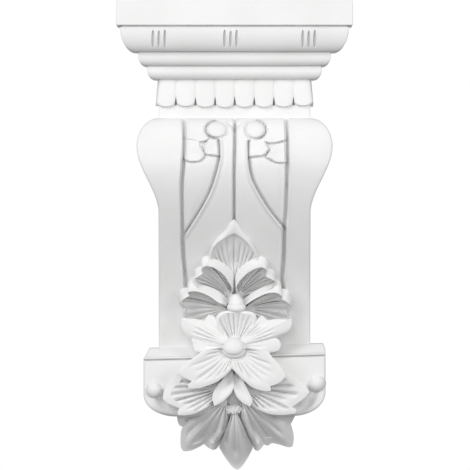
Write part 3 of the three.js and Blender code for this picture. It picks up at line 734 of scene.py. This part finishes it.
# The leaves above the flower: a pointed one, and two pairs of lobes that curl forward like awnings
UPPER_LEAVES = [
    dict(
        base=[-0.4, -34], start=56, end=over_body(1.2), floor=over_body(1.6), crest=4,
        veins=12, vein_depth=1.8, vein_span=(0.2, 0.92),
        outer=[
            [[-17.5, -17], [-16.6, -13], [-14, -4.8], [-10.3, -0.3], [-6, 3.9], [-2.9, 8.5],
             [-0.3, 10.9]],
            [[2.4, 7.9], [6.2, 2.4], [10.4, -2.2], [13, -6.9], [15.2, -12.2], [16, -17]],
        ],
        inner=[
            [[-15.4, -17], [-14.5, -9.6], [-11.3, -4.8], [-8.1, -2.4], [-3.4, 0.5], [-0.2, 1.8]],
            [[4, -0.6], [7.7, -3.7], [10.9, -8], [13.8, -13.3], [14.4, -17]],
        ],
    ),
    dict(
        **UPPER_LOBE, base=[-1.5, -40], curl=-0.2,
        outer=[
            [[-0.2, -34], [-0.4, -25], [-2.9, -20.7], [-6, -18], [-10.3, -15.4], [-15, -13.8],
             [-17.2, -12.5]],
            [[-20.3, -13.8], [-21.4, -15.9], [-21.7, -19.1]],
            [[-24.6, -20.7], [-25.6, -22.3], [-26.1, -26]],
            [[-28.3, -27.6], [-29.9, -29.7], [-30.4, -33]], [[-18, -38], [-6, -42]],
        ],
        inner=[
            [[-1.6, -36], [-1.8, -32.9], [-3.4, -29.7], [-6, -26], [-9.2, -22.8], [-13.5, -20.2],
             [-17.7, -19.1]],
            [[-20.3, -20.2], [-21.1, -22.3], [-20.1, -23.9]], [[-22.5, -25.5], [-25.1, -27.1]],
            [[-24.8, -29], [-24, -31], [-24, -33]], [[-15, -37.5], [-5.6, -41.5]],
        ],
    ),
    dict(
        **UPPER_LOBE, base=[1.6, -40], curl=0.2,
        outer=[
            [[0.2, -34], [0.4, -25.5], [3, -20.7], [6.7, -17.5], [10.9, -14.9], [14.6, -13.8],
             [16.2, -12.6]],
            [[19.4, -13.8], [21.5, -16.5], [22.1, -20.2]], [[24.7, -21.8], [26, -23.9], [26.6, -27.1]],
            [[27.9, -28.1], [29.5, -29.7], [30, -33]], [[18, -38], [7, -42]],
        ],
        inner=[
            [[1.6, -36], [1.2, -32.9], [2.4, -29.7], [5.1, -26.5], [8.8, -23.3], [13, -21],
             [16.8, -19.9]],
            [[19.4, -20.7], [20.5, -22.8], [19.7, -25.5]], [[22.6, -27.1], [25.8, -28.6]],
            [[25.2, -30.2], [23.6, -31.6], [23.6, -33]], [[15, -37.5], [6.6, -41.5]],
        ],
    ),
    dict(
        **LOWER_LOBE, base=[-5, -47], curl=-0.14,
        outer=[
            [[-3.6, -41], [-8.7, -36.1], [-13.5, -33.4], [-17.7, -31.8], [-21.9, -30.8],
             [-24.6, -28.8], [-27.2, -27.1]],
            [[-29.3, -29.2], [-30.4, -32.9]],
            [[-33.1, -33.4], [-35.2, -35], [-36.1, -38.7], [-35.6, -42]], [[-34.7, -44], [-32.2, -45.8]],
            [[-33.3, -49.3], [-32, -55]], [[-20, -56], [-8, -52]],
        ],
        inner=[
            [[-5.6, -45], [-10.3, -42.4], [-14.5, -39.5], [-18.7, -37.1], [-23.5, -35.5], [-27.2, -35.3]],
            [[-29.9, -36], [-28.8, -38.2]], [[-32, -40], [-34.2, -42]], [[-33.4, -43.6], [-31, -45.8]],
            [[-32, -49.3], [-31, -54]], [[-20, -55], [-8, -51.4]],
        ],
    ),
    dict(
        **LOWER_LOBE, base=[6, -47], curl=0.14,
        outer=[
            [[4.6, -41.5], [7.7, -38.7], [13, -35], [18.4, -32.4], [22.6, -31.4], [25.8, -29.6],
             [27.4, -28.1]],
            [[29.5, -30], [30.3, -33.4]], [[34.2, -34.5], [35.8, -36.6], [37.2, -40.3], [36.9, -44]],
            [[35.6, -46], [34.6, -48]], [[34.4, -51], [36.4, -53], [35, -56]], [[20, -57], [9, -52]],
        ],
        inner=[
            [[6.6, -44.6], [10.9, -41.4], [15.7, -38.7], [19.9, -36.9], [24.7, -36.1], [28.4, -36.9]],
            [[30.4, -38.7], [30.2, -40.3]], [[33.2, -41.9], [35.6, -44]], [[34.4, -46], [33.4, -48]],
            [[33.2, -51], [34.6, -53], [33.6, -55]], [[20, -56], [9, -51.4]],
        ],
    ),
]

# The flower: its petals from the top round to the lower two
FLOWER = [
    dict(
        base=[0.5, -72], start=62, end=60, bowl=4, crest=1.2, veins=9, vein_depth=2, vein_span=(0.2, 0.98),
        outer=[
            [[-12, -57], [-11.3, -50.9], [-8.2, -48.3], [-5, -47.6]], [[1.4, -47.4], [7.7, -47.8]],
            [[12, -48.9], [14.1, -52], [13.6, -58]],
        ],
        inner=[
            [[-10.4, -57], [-9.9, -52.2], [-7.3, -49.9], [-4.6, -49.2]], [[1.4, -48.8], [7.1, -49.4]],
            [[11, -50.5], [12.5, -53], [12.1, -58]],
        ],
    ),
    dict(
        **UPPER_PETAL, base=[-1, -70],
        outer=[
            [[-8.2, -57.5], [-12.4, -51.7], [-16.6, -50.1]], [[-19.3, -54]],
            [[-24, -53], [-29.3, -52.6], [-33.8, -52.2]], [[-33.9, -57.3], [-31.5, -62], [-26.7, -66]],
            [[-15, -69]],
        ],
    ),
    dict(
        **UPPER_PETAL, base=[1, -70],
        outer=[
            [[9.3, -57.5], [14.6, -52.7], [17.8, -50.6]], [[21, -53.8]],
            [[26.3, -53], [33.2, -53.2], [36.4, -52.2]], [[36.4, -57], [33.7, -61.2], [25.8, -65.5]],
            [[15, -69]],
        ],
    ),
    dict(
        **SIDE_PETAL, base=[-1, -70],
        outer=[[[-12, -63], [-26.2, -64.9], [-26.6, -68.6], [-25.9, -71.8], [-23.5, -74], [-12, -75]]],
    ),
    dict(
        **SIDE_PETAL, base=[1, -70],
        outer=[
            [[12, -62], [25.8, -65], [28.9, -67.2], [29.6, -69.7], [27.9, -72.9], [23.1, -74.4],
             [12, -76]],
        ],
    ),
    dict(
        base=[-0.8, -71], start=64, end=67, arch=0.6, curl=0.12,
        veins=9, vein_depth=1, vein_span=(0.35, 0.85),
        outer=[
            [[-8, -72], [-18.8, -72.6], [-24, -76], [-29.3, -79.8], [-33.1, -82.9], [-36, -86.1]],
            [[-33.1, -89.6], [-27.2, -92.7]], [[-29.9, -95.1], [-28.8, -97.3]],
            [[-22.5, -97], [-16.1, -95.1], [-10.3, -92.5], [-5.5, -88.8], [-1.3, -84.4]],
        ],
    ),
    dict(
        base=[-0.8, -71], start=64, end=67.4, arch=0.6, curl=-0.12,
        veins=10, vein_depth=1, vein_span=(0.35, 0.8),
        outer=[
            [[-1.9, -84.4], [2.4, -88.8], [6.7, -93], [10.9, -96.2], [15.7, -98.1], [19.9, -98.9],
             [23.4, -98.6]],
            [[22.6, -95.9]], [[26.3, -94.6], [30, -92.5], [32.6, -89.3]],
            [[31.6, -86.7], [28.4, -81.9], [23.6, -76.6], [20.5, -73.4], [8, -72]],
        ],
    ),
]

# The leaves and the two drops that spread under the flower, over the bar
LOWER_LEAVES = [
    dict(
        **LOWER_LEAF, base=[-4, -96],
        outer=[
            [[-24, -82], [-36.9, -88.4]], [[-39.5, -93.4], [-42.4, -95.9], [-45, -98.9], [-45.9, -103.8]],
            [[-42.8, -106.6], [-39.1, -108.4], [-35.1, -110]], [[-36.2, -112.2], [-35.9, -114.4]],
            [[-30.5, -114.4], [-24.1, -113.1], [-17.2, -109.4], [-13, -105], [-8, -101]],
        ],
    ),
    dict(
        **LOWER_LEAF, base=[5, -96],
        outer=[
            [[7, -102], [10.9, -108.3], [17.3, -112], [23.7, -113.9], [31.7, -114.2], [38.2, -113.4]],
            [[39.6, -111.2], [36.6, -109.1]], [[41, -106.2], [44.7, -103.3], [48, -99.6]],
            [[44.7, -94.8], [40.3, -92.3], [35.5, -89.6], [24, -82]],
        ],
    ),
    dict(
        **DROP, base=[-1, -86],
        outer=[
            [[-2.6, -85], [-7.4, -91], [-12.4, -97.3], [-14.2, -103.1], [-12.9, -108.6]],
            [[-7.4, -105.6], [-2.6, -101], [-0.6, -97], [0, -90]],
        ],
    ),
    dict(
        **DROP, base=[0.6, -86],
        outer=[
            [[-0.4, -90], [-0.6, -97], [1, -102], [4.6, -106], [9.9, -108.8]],
            [[11.6, -105], [9, -98.8], [6.4, -93.5], [2.2, -86]],
        ],
    ),
]

# The hanging leaves, which lie against the wall, with a narrow fold on each side of the middle one
HANGING_LEAVES = [
    dict(
        **HANGING_LEAF, base=[-5, -104], vein_depth=3.6, vein_edge=0.9,
        folds=[([[-5.4, -113], [-7.7, -123.7], [-11.9, -129], [-14.5, -133], [-15, -137]], 2.8, 2.5, 8)],
        outer=[
            [[-30, -104], [-37, -110], [-36.8, -116], [-35.8, -120.5], [-33.2, -122.3]],
            [[-34.3, -125.3], [-34.7, -131.7], [-34.2, -135.9], [-32.6, -138.1]],
            [[-27.8, -137.5], [-22.5, -135.1], [-19.6, -133.3]],
            [[-17.2, -135.4], [-14, -137], [-11.4, -136.2], [-9, -133]], [[-4, -126], [1, -112]],
        ],
    ),
    dict(
        **HANGING_LEAF, base=[5, -104], vein_depth=2.6,
        folds=[([[5.6, -113], [8, -122], [10.6, -126.5], [14.7, -131.7], [16.3, -137]], 2.8, 2.5, 8)],
        outer=[
            [[-1, -112], [4.4, -126], [10.6, -133]], [[13.1, -137], [15.7, -137.3], [18.9, -133.6]],
            [[21.6, -134.3], [24, -132.8], [29, -133.8], [34.3, -135.4], [37.2, -135]],
            [[38, -130.1], [37.5, -125.3], [36, -120.3]], [[37.9, -116.8], [38.8, -112], [31, -104]],
        ],
    ),
    dict(
        base=[-0.2, -109.6], start=54, end=lambda z: leaf_depth(z) + 1.5,
        veins=6, vein_depth=3.6, vein_span=(0.1, 0.85), vein_edge=0.9,
        outer=[
            [[-3.4, -113], [-5, -124], [-9.9, -135.4]],
            [[-7.1, -140.2], [-3.9, -145], [-0.7, -148.7], [1.7, -150]],
            [[4, -148.7], [7.2, -144.4], [9.9, -139.7], [11.8, -135.6]], [[7, -124], [3.4, -113]],
        ],
    ),
]

# The flower's button, the bell-shaped bud over it, the knob under it and the hidden cores that close the
# gaps behind the petals: place, depth, half sizes and how far the foot leans forward
BOSSES = [
    ("button", -0.7, -70.4, 66, (6.8, 3.6, 5.6), 0.3),
    ("button_rim", -0.3, -71.6, 65.4, (7.8, 2.2, 6.2), 0.2),
    ("bud_cap", 0.7, -40.2, 57.6, (4, 4, 3.4), 0.3),
    ("bud", 1, -42.8, 58.4, (5.1, 4.4, 4.6), 0.3),
    ("bud_skirt", 1.2, -45.2, 59, (6.1, 4.2, 3.6), 0.3),
    ("knob", -0.6, -110.6, 54, (5.4, 2, 3)),
    ("upper_core", 1, -44, 46, (5, 12, 6)),
    ("flower_core", -0.5, -71, 50, (9, 13.5, 9)),
    ("lower_core", 0, -98, 46, (12, 8, 14)),
]
STAMENS = 24
STAMEN_RADIUS = 0.8
STAMEN_TURN = 2.4
STAMEN_SEAT = 0.3
BALLS = [
    ("left_ball", -51.7, -98.3),
    ("right_ball", 53, -94.1),
]


def row_tree():
    """Sets copies of a shape in a row, each a little different in height."""
    tree = bpy.data.node_groups.new("row of copies", "GeometryNodeTree")
    sockets = [
        ("Shape", "NodeSocketGeometry"), ("Count", "NodeSocketInt"), ("Pitch", "NodeSocketFloat"),
        ("Unevenness", "NodeSocketFloat"), ("Seed", "NodeSocketInt"), ("Material", "NodeSocketMaterial"),
    ]
    for name, kind in sockets:
        tree.interface.new_socket(name, in_out="INPUT", socket_type=kind)
    tree.interface.new_socket("Row", in_out="OUTPUT", socket_type="NodeSocketGeometry")
    add = tree.nodes.new
    given, made = add("NodeGroupInput").outputs, add("NodeGroupOutput")
    step, line = add("ShaderNodeCombineXYZ"), add("GeometryNodeMeshLine")
    last, half, whole = (add("ShaderNodeMath") for _ in range(3))
    start = add("ShaderNodeCombineXYZ")
    last.operation, half.operation, whole.operation = "SUBTRACT", "MULTIPLY", "MULTIPLY"
    last.inputs[1].default_value, half.inputs[1].default_value = 1, -0.5
    link = tree.links.new
    link(given["Pitch"], step.inputs["X"])
    link(given["Count"], last.inputs[0])
    link(last.outputs[0], half.inputs[0])
    link(half.outputs[0], whole.inputs[0])
    link(given["Pitch"], whole.inputs[1])
    link(whole.outputs[0], start.inputs["X"])
    link(given["Count"], line.inputs["Count"])
    link(start.outputs[0], line.inputs["Start Location"])
    link(step.outputs[0], line.inputs["Offset"])
    low, high, varied = add("ShaderNodeMath"), add("ShaderNodeMath"), add("FunctionNodeRandomValue")
    low.operation, high.operation = "SUBTRACT", "ADD"
    low.inputs[0].default_value = high.inputs[0].default_value = 1
    link(given["Unevenness"], low.inputs[1])
    link(given["Unevenness"], high.inputs[1])
    varied.data_type = "FLOAT"
    link(low.outputs[0], varied.inputs[2])
    link(high.outputs[0], varied.inputs[3])
    link(given["Seed"], varied.inputs["Seed"])
    size, copies = add("ShaderNodeCombineXYZ"), add("GeometryNodeInstanceOnPoints")
    size.inputs["X"].default_value = size.inputs["Y"].default_value = 1
    link(varied.outputs[1], size.inputs["Z"])
    link(line.outputs["Mesh"], copies.inputs["Points"])
    link(given["Shape"], copies.inputs["Instance"])
    link(size.outputs[0], copies.inputs["Scale"])
    real, paint = add("GeometryNodeRealizeInstances"), add("GeometryNodeSetMaterial")
    link(copies.outputs["Instances"], real.inputs[0])
    link(real.outputs[0], paint.inputs["Geometry"])
    link(given["Material"], paint.inputs["Material"])
    link(paint.outputs[0], made.inputs[0])
    return tree


def rowed(made, tree, count, pitch, unevenness, seed, material):
    """Turns a shape into a row of copies of it."""
    row = made.modifiers.new("row", "NODES")
    row.node_group = tree
    values = {"Count": count, "Pitch": pitch * MM, "Unevenness": unevenness, "Seed": seed}
    values["Material"] = material
    for socket in tree.interface.items_tree:
        if socket.in_out == "INPUT" and socket.name in values:
            row[socket.identifier] = values[socket.name]
    mesh = evaluated(made)
    made.modifiers.clear()
    made.data = mesh
    return made


def tongue():
    """A tongue with a flat face, steep sides and a blunt round end. It leans out to its foot, and its top
    is at z = 0."""
    half = TONGUE_PITCH / 2 + TONGUE_OVERLAP
    straight = TONGUE_END - TONGUE_LENGTH
    turn = np.linspace(0, math.pi / 2, 12)[1:]
    rows = [(1, half), *((z, half) for z in np.linspace(0, straight, 8))]
    rows += [(straight - TONGUE_END * math.sin(a), half * max(math.cos(a), 0.03) ** 0.6) for a in turn]
    rings = []
    for z, width in rows:
        x = np.sin(np.linspace(-1, 1, 15) * math.pi / 2)
        out = TONGUE_OUT + TONGUE_LEAN * clamp(-z / TONGUE_LENGTH)
        face = out * (1 - 0.55 * abs(x) ** 8) + 0.4 * (1 - x**2)
        front = np.column_stack([x * width, -face, np.full(15, z)])
        back = [[width, 3, z], [-width, 3, z]]
        rings.append(np.vstack([front, back]))
    return stacked("tongue", rings)


def pit():
    """A narrow pit between the ends of two tongues, pointed at its top; its foot is at z = 0."""
    widths = ((0, 0.8), (2, 0.6), (5, 0.06))
    rings = [[[-half, -4, z], [half, -4, z], [half, 4, z], [-half, 4, z]] for z, half in widths]
    return stacked("pit", rings)


def nick():
    """A lens-shaped cut, steep on its left and slanting on its right."""
    rings = []
    for share in np.linspace(-0.98, 0.98, 17):
        width, deep = NICK_HALF * math.sqrt(1 - share**2), NICK_DEPTH * (1 - share**4) ** 0.5
        z = share * NICK_LENGTH
        lean = z * math.tan(NICK_LEAN)
        front = [[-width, -3], [width, -3]]
        outline = [*front, [width, lean - 0.1], [-width * 0.6, lean + deep], [-width, lean]]
        rings.append([[x, y, z] for x, y in outline])
    return stacked("nick", rings)


def placed(made, turn, place):
    """Turns a shape about the upright axis and moves it to its place."""
    turned = Matrix.Rotation(math.radians(turn), 4, "Z")
    made.data.transform(Matrix.Translation(Vector(place) * MM) @ turned)
    return made


def tongues(tree, material):
    rows = []
    side_middle = -NECK_DEPTH + SIDE_TONGUES / 2 * TONGUE_PITCH + 1
    side = NECK_HALF - SIDE_TONGUE_SEAT
    for count, turn, place in (
        (FRONT_TONGUES, 0, (TONGUE_SHIFT, -NECK_DEPTH, TORUS_FOOT)),
        (SIDE_TONGUES, 90, (side, side_middle, TORUS_FOOT + SIDE_TONGUE_LIFT)),
        (SIDE_TONGUES, -90, (-side, side_middle, TORUS_FOOT + SIDE_TONGUE_LIFT)),
    ):
        row = rowed(tongue(), tree, count, TONGUE_PITCH, TONGUE_UNEVEN, SEED + turn, material)
        rows.append(placed(row, turn, place))
    for vertex in rows[0].data.vertices:
        x, _, z = vertex.co / MM
        narrowed = TONGUE_SPREAD * clamp(abs(x) / TONGUE_PITCH - 3) * clamp(1 - (TORUS_FOOT - z) / 15)
        vertex.co.x -= MM * float(math.copysign(narrowed, x))
    return rows


def pits(tree, material):
    row = rowed(pit(), tree, FRONT_TONGUES - 1, TONGUE_PITCH, PIT_UNEVEN, SEED, material)
    return placed(row, 0, (TONGUE_SHIFT, -NECK_DEPTH, TORUS_FOOT - PIT_DROP))


def nicks(tree, material):
    depth = SLAB_DEPTH - OVOLO_INSET - NICK_SEAT
    level = (QUIRK_FOOT + OVOLO_FOOT) / 2
    rows = []
    for i, x in enumerate(NICK_GROUPS):
        row = rowed(nick(), tree, NICK_COUNT, NICK_PITCH, NICK_UNEVEN, SEED + i, material)
        rows.append(placed(row, 0, (x, -depth, level)))
    return rows


def white_casting():
    """Matt white primer over a smooth moulding: fine orange peel, a faint cloudiness and uneven sheen."""
    material = bpy.data.materials.new("matt white casting")
    material.use_nodes = True
    tree = material.node_tree
    shader = tree.nodes["Principled BSDF"]
    add, link = tree.nodes.new, tree.links.new
    where = add("ShaderNodeTexCoord")
    cloud, peel = add("ShaderNodeTexNoise"), add("ShaderNodeTexNoise")
    cloud.inputs["Scale"].default_value, peel.inputs["Scale"].default_value = 28, 900
    cloud.inputs["Detail"].default_value, peel.inputs["Detail"].default_value = 4, 3
    tint, sheen, bump = add("ShaderNodeValToRGB"), add("ShaderNodeMapRange"), add("ShaderNodeBump")
    tint.color_ramp.elements[0].position, tint.color_ramp.elements[1].position = 0.35, 0.65
    tint.color_ramp.elements[0].color = (0.79, 0.79, 0.786, 1)
    tint.color_ramp.elements[1].color = (0.825, 0.825, 0.823, 1)
    sheen.inputs["To Min"].default_value, sheen.inputs["To Max"].default_value = 0.55, 0.7
    bump.inputs["Strength"].default_value, bump.inputs["Distance"].default_value = 0.12, 0.0001
    for texture in (cloud, peel):
        link(where.outputs["Object"], texture.inputs["Vector"])
    link(cloud.outputs["Fac"], tint.inputs["Fac"])
    link(cloud.outputs["Fac"], sheen.inputs["Value"])
    link(peel.outputs["Fac"], bump.inputs["Height"])
    link(tint.outputs["Color"], shader.inputs["Base Color"])
    link(sheen.outputs["Result"], shader.inputs["Roughness"])
    link(bump.outputs["Normal"], shader.inputs["Normal"])
    shader.inputs["Specular IOR Level"].default_value = 0.35
    return material


def ornament():
    groups = {"leaf": UPPER_LEAVES, "flower": FLOWER, "lower": LOWER_LEAVES}
    made = [petal(f"{name}_{i}", **sizes) for name, rows in groups.items() for i, sizes in enumerate(rows)]
    made += [petal(f"hanging_{i}", root=0, taper=0.08, **sizes) for i, sizes in enumerate(HANGING_LEAVES)]
    made += [dome(*boss) for boss in BOSSES]
    draw = np.random.default_rng(SEED)
    _, x, z, depth, (across, forward, up) = next(boss for boss in BOSSES if boss[0] == "knob")
    for number in range(STAMENS):
        turn, out = number * STAMEN_TURN, math.sqrt((number + 0.5) / STAMENS)
        place = [x + across * out * math.cos(turn), z + up * out * math.sin(turn)]
        size = STAMEN_RADIUS * draw.uniform(0.75, 1.2)
        raised = depth + forward * math.sqrt(1 - out**2) - STAMEN_SEAT
        made.append(dome("stamen", *place, raised, [size] * 3, steps=10))
    return made


def corbel():
    material = white_casting()
    tree = row_tree()
    made = cornice()
    take(made, *nicks(tree, material), operation="DIFFERENCE")
    take(made, body(), bar(), *tongues(tree, material))
    take(made, pits(tree, material), operation="DIFFERENCE")
    balls = [dome(name, x, z, BAR_DEPTH - BALL_SEAT, [BALL_RADIUS] * 3) for name, x, z in BALLS]
    take(made, *balls, *ornament())
    made.name = made.data.name = "corbel_casting"
    made.data.materials.clear()
    made.data.materials.append(material)
    return made


def finished(made):
    """Smooth faces inside the frame's box. Creases stay, and faces square to an axis stay flat. These are
    set last, because setting the creases resets them."""
    mesh = made.data
    places = np.empty(len(mesh.vertices) * 3, np.float32)
    mesh.vertices.foreach_get("co", places)
    places = np.clip(places.reshape(-1, 3), np.array(cad_low), np.array(cad_high))
    mesh.vertices.foreach_set("co", places.ravel())
    mesh.set_sharp_from_angle(angle=CREASE)
    mesh.polygons.foreach_set("use_smooth", [max(map(abs, face.normal)) < SQUARE for face in mesh.polygons])
    mesh.update()
    return made


casting = finished(corbel())
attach(casting, "root")
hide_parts("corbel")


def stage():
    """A pale floor well under the corbel, out of the front view."""
    shape = bmesh.new()
    bmesh.ops.create_circle(shape, cap_ends=True, segments=64, radius=FLOOR_RADIUS)
    floor = shaped("floor", shape)
    floor.location.z = FLOOR_HEIGHT
    material = bpy.data.materials.new("pale floor")
    material.use_nodes = True
    shader = material.node_tree.nodes["Principled BSDF"]
    shader.inputs["Base Color"].default_value = (0.9, 0.9, 0.9, 1)
    shader.inputs["Roughness"].default_value = 0.8
    floor.data.materials.append(material)
    floor.visible_diffuse = False


def studio():
    """Soft light all round, soft lamps in front and above, and a white ground."""
    world = bpy.data.worlds.new("studio")
    bpy.context.scene.world = world
    world.use_nodes = True
    tree = world.node_tree
    add, link = tree.nodes.new, tree.links.new
    ground = tree.nodes["Background"]
    soft, ray, choice = add("ShaderNodeBackground"), add("ShaderNodeLightPath"), add("ShaderNodeMixShader")
    ground.inputs["Color"].default_value = soft.inputs["Color"].default_value = (1, 1, 1, 1)
    soft.inputs["Strength"].default_value = LIGHT_ROUND
    link(ray.outputs["Is Camera Ray"], choice.inputs["Fac"])
    link(soft.outputs[0], choice.inputs[1])
    link(ground.outputs[0], choice.inputs[2])
    link(choice.outputs[0], tree.nodes["World Output"].inputs["Surface"])
    for place, power in LAMPS:
        data = bpy.data.lights.new("soft lamp", "AREA")
        data.size, data.energy = LAMP_SIZE, power
        lamp = shown("soft lamp", data)
        lamp.location = place
        lamp.rotation_euler = (-Vector(place)).to_track_quat("-Z", "Y").to_euler()
        lamp.visible_camera = False
    tone = bpy.context.scene.view_settings
    tone.view_transform, tone.exposure, tone.gamma = "Standard", TONE_EXPOSURE, TONE_GAMMA


def camera():
    """A view from far off, so that the cornice's undersides stay hidden as in the photo."""
    data = bpy.data.cameras.new("camera")
    data.lens, data.sensor_width = CAMERA_LENS, CAMERA_SENSOR
    data.clip_end = CAMERA_REACH
    made = shown("camera", data)
    made.location = CAMERA_PLACE
    made.rotation_euler = (math.pi / 2, 0, 0)
    bpy.context.scene.camera = made


stage()
studio()
camera()
